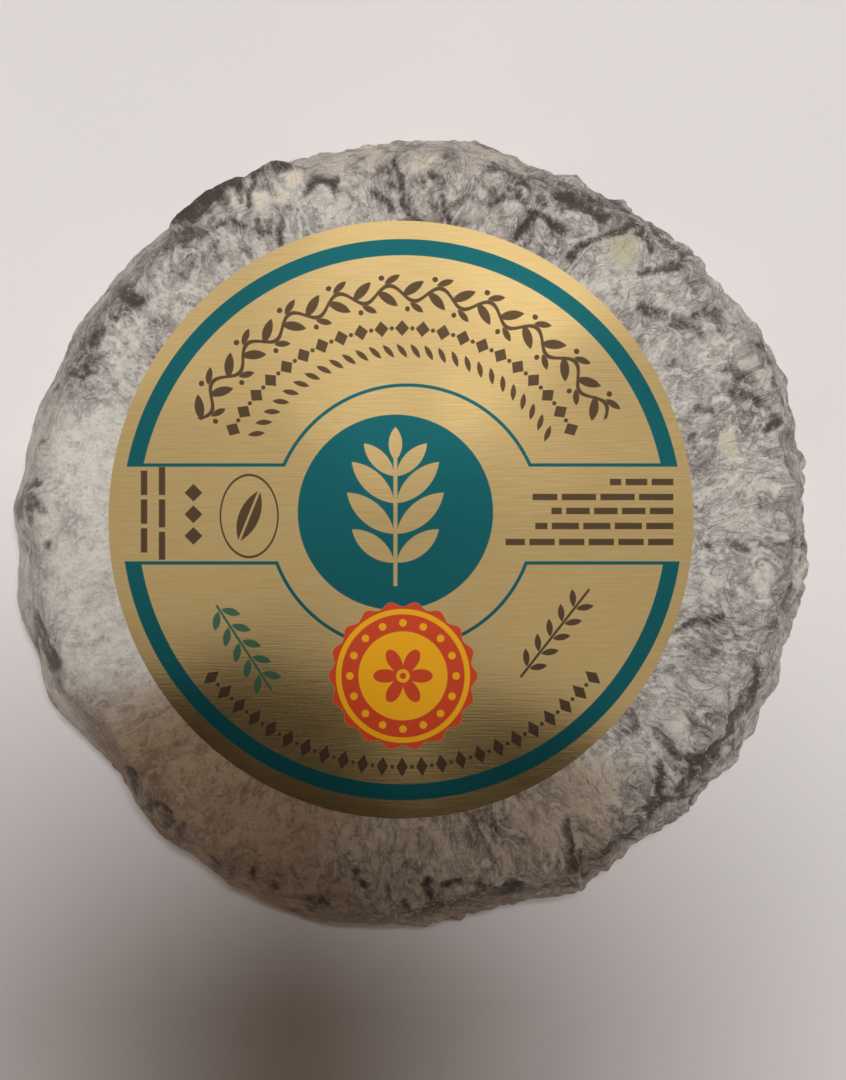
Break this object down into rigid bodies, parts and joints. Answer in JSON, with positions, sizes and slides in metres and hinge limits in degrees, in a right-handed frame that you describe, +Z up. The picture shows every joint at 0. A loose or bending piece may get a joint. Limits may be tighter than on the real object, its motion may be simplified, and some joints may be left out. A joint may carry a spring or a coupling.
{
  "type": "goat cheese disc",
  "caption": "Low round goat's cheese with a wrinkled ash-grey rind, bevelled edge and flat base, and a round gold paper label on its top.",
  "frame": {"origin": "on the floor under the middle of the object's box", "axes": "+Z up through the label; +Y towards the top of the label's print, +X to its right"},
  "size_m": [0.092, 0.0914, 0.0259],
  "materials": {
    "rind": "matt, downy, mottled with ash",
    "gold_paper": "satin gold paper with printed shapes"
  },
  "bodies": {
    "root": {"cheese": "rind", "label": "gold_paper"}
  },
  "joints": []
}
